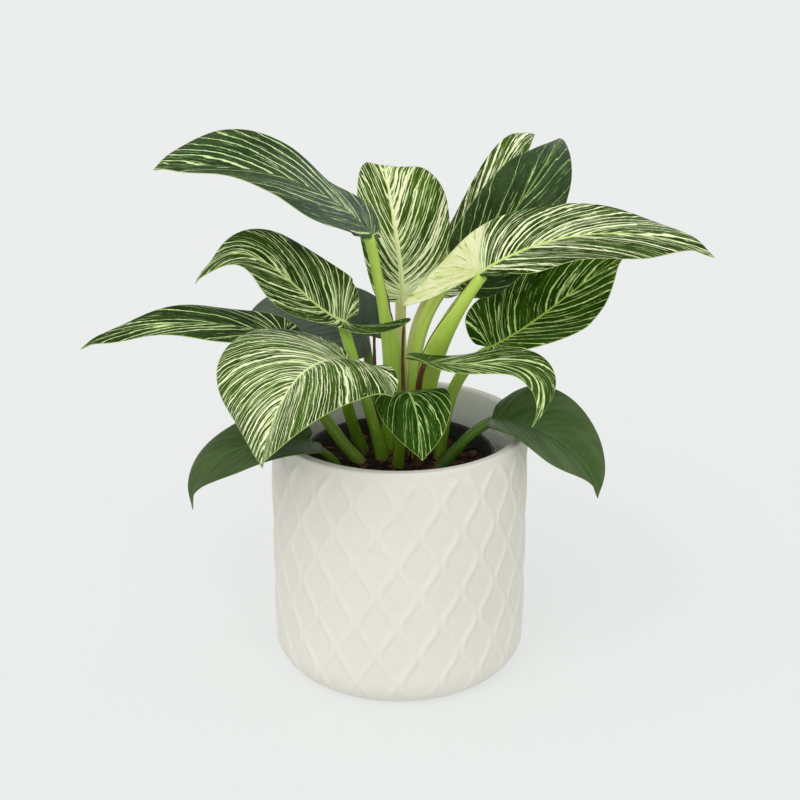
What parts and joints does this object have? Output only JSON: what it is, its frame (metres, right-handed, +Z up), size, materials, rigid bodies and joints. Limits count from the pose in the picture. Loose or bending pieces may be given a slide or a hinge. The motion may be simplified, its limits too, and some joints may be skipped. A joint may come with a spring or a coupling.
{
  "type": "potted philodendron",
  "caption": "Leafy house plant with cream-striped heart-shaped leaves on upright stalks, growing in a plastic pot set inside a round ceramic cover pot with a raised net of wavy ribs.",
  "frame": {"origin": "centre of the cover pot's flat underside, on the surface it stands on", "axes": "+Z up; -Y is the front, the side the picture shows; +X is to the right in the picture"},
  "size_m": [0.3954, 0.2373, 0.3553],
  "materials": {
    "glazed_pot": "warm off-white, matt glaze",
    "grow_pot_plastic": "black moulded plastic",
    "potting_mix": "crumbly dark bark and peat mix",
    "stalk_green": "smooth lime-green leaf stalk, satin",
    "stalk_tan": "smooth pale tan-green leaf stalk, satin",
    "striped_blade": "waxy green blade with cream pinstripes along its veins",
    "dark_blade": "waxy plain dark green blade",
    "dried_sheath": "dry red-brown papery sheath"
  },
  "bodies": {
    "root": {"cover_pot": "glazed_pot", "crown": "stalk_green", "dried_sheath_01": "dried_sheath", "dried_sheath_02": "dried_sheath", "dried_sheath_03": "dried_sheath", "grow_pot": "grow_pot_plastic", "leaf_01_blade": "striped_blade", "leaf_01_stalk": "stalk_green", "leaf_02_blade": "striped_blade", "leaf_02_stalk": "stalk_tan", "leaf_03_blade": "striped_blade", "leaf_03_stalk": "stalk_tan", "leaf_04_blade": "striped_blade", "leaf_04_stalk": "stalk_green", "leaf_05_blade": "striped_blade", "leaf_05_stalk": "stalk_green", "leaf_06_blade": "striped_blade", "leaf_06_stalk": "stalk_green", "leaf_07_blade": "striped_blade", "leaf_07_stalk": "stalk_green", "leaf_08_blade": "striped_blade", "leaf_08_stalk": "stalk_green", "leaf_09_blade": "striped_blade", "leaf_09_stalk": "stalk_green", "leaf_10_blade": "striped_blade", "leaf_10_stalk": "stalk_green", "leaf_11_blade": "dark_blade", "leaf_11_stalk": "stalk_green", "leaf_12_blade": "dark_blade", "leaf_12_stalk": "stalk_green", "leaf_13_blade": "striped_blade", "leaf_13_stalk": "stalk_green", "leaf_14_blade": "dark_blade", "leaf_14_stalk": "stalk_green", "potting_mix": "potting_mix"}
  },
  "joints": []
}
